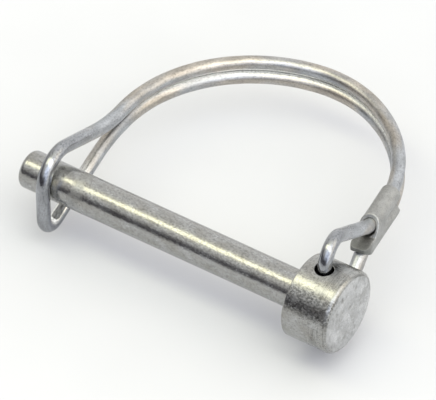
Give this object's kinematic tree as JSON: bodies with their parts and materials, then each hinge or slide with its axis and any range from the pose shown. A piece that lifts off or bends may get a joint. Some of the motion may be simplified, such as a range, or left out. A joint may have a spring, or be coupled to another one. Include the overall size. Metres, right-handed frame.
{
  "type": "hitch pin lock",
  "caption": "Headed steel hitch pin with a sprung double-wire bail that swings over from the head and loops around the tip to lock it.",
  "frame": {"origin": "centre of the head's flat end face, on the pin's axis", "axes": "+X along the pin's axis, out of the head; +Z along the cross hole in the head; +Y towards the bow of the closed bail"},
  "size_m": [0.0904, 0.0797, 0.0329],
  "materials": {
    "pin_zinc": "bright zinc plating, fine mottled grain",
    "wire_zinc": "bright zinc plating, smooth drawn wire",
    "ferrule_zinc": "satin zinc plating with crimp marks"
  },
  "bodies": {
    "pin": {"pin": "pin_zinc"},
    "bail": {"ferrule": "ferrule_zinc", "wire_upper_arm": "wire_zinc", "wire_lower_arm": "wire_zinc"},
    "bail_loop": {"wire_eye": "wire_zinc"}
  },
  "joints": [
    {"name": "bail_swing", "type": "hinge", "parent": "pin", "child": "bail", "pos_m": [-0.0072, 0, 0], "axis": [0, 0, -1], "range_deg": [0, 250]},
    {"name": "bail_spring", "type": "slide", "parent": "bail", "child": "bail_loop", "axis": [-1, 0, 0], "range_m": [0, 0.012], "stiffness_N_per_m": 8000}
  ]
}
